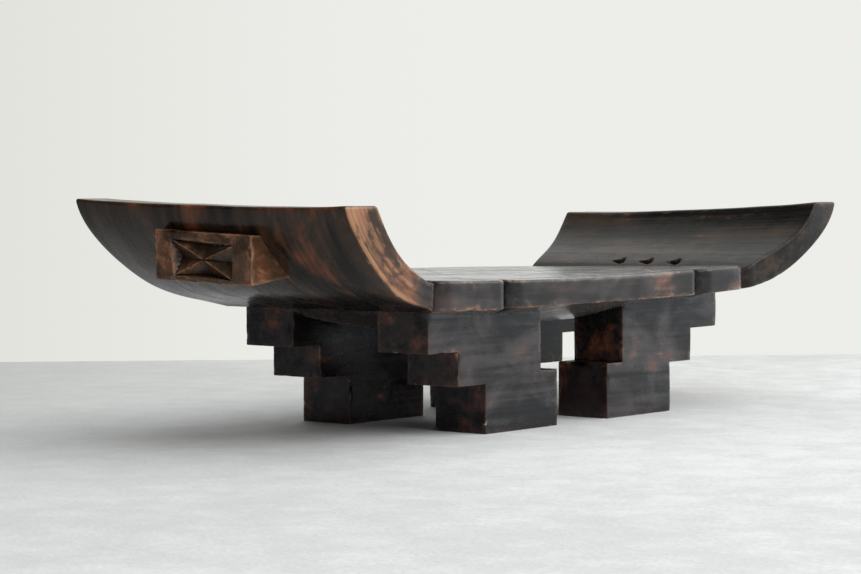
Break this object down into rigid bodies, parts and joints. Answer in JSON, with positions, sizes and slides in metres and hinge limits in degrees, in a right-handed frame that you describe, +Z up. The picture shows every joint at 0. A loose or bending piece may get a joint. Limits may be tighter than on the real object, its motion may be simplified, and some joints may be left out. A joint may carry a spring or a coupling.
{
  "type": "carved wooden headrest",
  "caption": "Long low headrest: a flat scalloped seat between upturned wings, carried on stepped plate legs, with a cross-carved lug on each wing.",
  "frame": {"origin": "on the floor under the middle of the seat", "axes": "+X along the length towards the right wing, +Y across the depth towards the back, +Z up"},
  "size_m": [0.584, 0.2319, 0.155],
  "materials": {
    "seat_wood": "dark stained hardwood, polished by use",
    "wing_wood": "dark stained hardwood, satin, rubbed to brown on the edges",
    "leg_wood": "dark stained hardwood, satin",
    "lug_wood": "worn brown hardwood, satin"
  },
  "bodies": {
    "root": {"seat": "seat_wood", "left_wing": "wing_wood", "right_wing": "wing_wood", "leg_front_left": "leg_wood", "leg_front_right": "leg_wood", "leg_back_left": "leg_wood", "leg_back_right": "leg_wood", "left_lug": "lug_wood", "right_lug": "lug_wood"}
  },
  "joints": []
}
